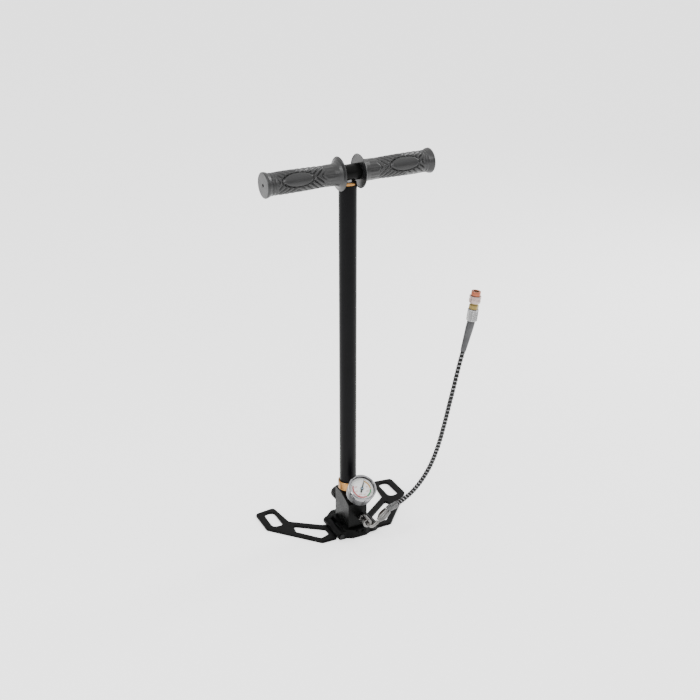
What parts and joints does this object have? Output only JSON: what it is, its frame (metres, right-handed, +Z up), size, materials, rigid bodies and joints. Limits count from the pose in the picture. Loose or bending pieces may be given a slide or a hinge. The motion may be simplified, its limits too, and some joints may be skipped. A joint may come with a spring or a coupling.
{
  "type": "high-pressure stirrup hand pump",
  "caption": "Tall hand-operated air pump with a T-handle, a slim black cylinder, a round gauge, an armoured hose with a quick coupler, and fold-out foot plates.",
  "frame": {"origin": "on the floor, under the axis of the pump cylinder", "axes": "+Z up the cylinder, +X along the handle towards the hose side, -Y towards the gauge"},
  "size_m": [0.3373, 0.1782, 0.6463],
  "materials": {
    "black_casting": "satin black powder coat",
    "black_block": "satin black anodised",
    "black_tube": "satin black",
    "crossbar": "satin black",
    "steel": "bright",
    "gauge_steel": "polished",
    "nickel": "nickel plate",
    "braid": "satin",
    "brass": "turned",
    "copper": "turned red brass",
    "grip_rubber": "matt, moulded relief",
    "seal_rubber": "matt",
    "hose_black": "black rubber with a steel spring outside",
    "clear_lens": "clear",
    "dial_white": "matt white",
    "pointer_black": "matt black"
  },
  "bodies": {
    "base": {"base_casting": "black_casting", "hinge_pin_left": "steel", "hinge_pin_right": "steel", "base_screw_front": "steel", "base_screw_rear": "steel", "apron_screw_left": "steel", "apron_screw_right": "steel", "pump_block": "black_block", "check_valve_ball": "steel", "check_valve_spring": "steel", "lower_nut": "brass", "outer_cylinder": "black_tube", "top_gland": "brass", "gland_wiper": "seal_rubber", "inner_tube": "steel", "second_stage_head": "brass", "second_stage_seal": "seal_rubber", "gauge_case": "gauge_steel", "gauge_bezel": "gauge_steel", "gauge_lens": "clear_lens", "gauge_dial": "dial_white", "gauge_stem": "brass", "gauge_movement": "brass", "outlet_adapter": "nickel", "outlet_nut": "nickel", "outlet_elbow": "nickel", "hose_ferrule": "nickel", "hose_sleeve": "braid", "hose": "hose_black", "hose_end_sleeve": "braid", "coupler_ferrule": "nickel", "coupler_body": "brass", "coupler_cap": "copper", "coupler_seal": "seal_rubber"},
    "foot_left": {"foot_plate_left": "black_casting"},
    "foot_right": {"foot_plate_right": "black_casting"},
    "piston_ring": {"piston_seal": "seal_rubber"},
    "handle": {"handle_crossbar": "crossbar", "grip_left": "grip_rubber", "grip_right": "grip_rubber", "piston_tube": "steel", "piston_head": "brass", "plunger_rod": "steel", "plunger_seal": "seal_rubber"},
    "pointer": {"gauge_pointer": "pointer_black"},
    "bleed_ring": {"bleed_seal": "seal_rubber"},
    "bleed_screw": {"bleed_knob": "black_block"},
    "collar": {"coupler_collar": "steel"}
  },
  "joints": [
    {"name": "foot_left_fold", "type": "hinge", "parent": "base", "child": "foot_left", "pos_m": [-0.031, -0.0307, 0.007], "axis": [0, 1, 0], "range_deg": [0, 88]},
    {"name": "foot_right_fold", "type": "hinge", "parent": "base", "child": "foot_right", "pos_m": [0.031, -0.0307, 0.007], "axis": [0, -1, 0], "range_deg": [0, 88]},
    {"name": "handle_stroke", "type": "slide", "parent": "base", "child": "piston_ring", "axis": [0, 0, 1], "range_m": [0, 0.47]},
    {"name": "handle_turn", "type": "hinge", "parent": "piston_ring", "child": "handle", "pos_m": [0, 0, 0.62], "axis": [0, 0, 1], "continuous": true},
    {"name": "pointer_turn", "type": "hinge", "parent": "base", "child": "pointer", "pos_m": [0.0006, -0.053, 0.1012], "axis": [0, 0.5592, -0.829], "range_deg": [0, 270]},
    {"name": "bleed_lift", "type": "slide", "parent": "base", "child": "bleed_ring", "axis": [0, 1, 0], "range_m": [0, 0.00165]},
    {"name": "bleed_turn", "type": "hinge", "parent": "bleed_ring", "child": "bleed_screw", "pos_m": [-0.0075, 0.0165, 0.0508], "axis": [0, 1, 0], "range_deg": [0, 540]},
    {"name": "collar_pull", "type": "slide", "parent": "base", "child": "collar", "axis": [-0.1323, 0, -0.9912], "range_m": [0, 0.0028], "stiffness_N_per_m": 900}
  ],
  "couplings": [
    {"joint": "bleed_turn", "follows": "bleed_lift", "rad_per_m": 5700}
  ]
}
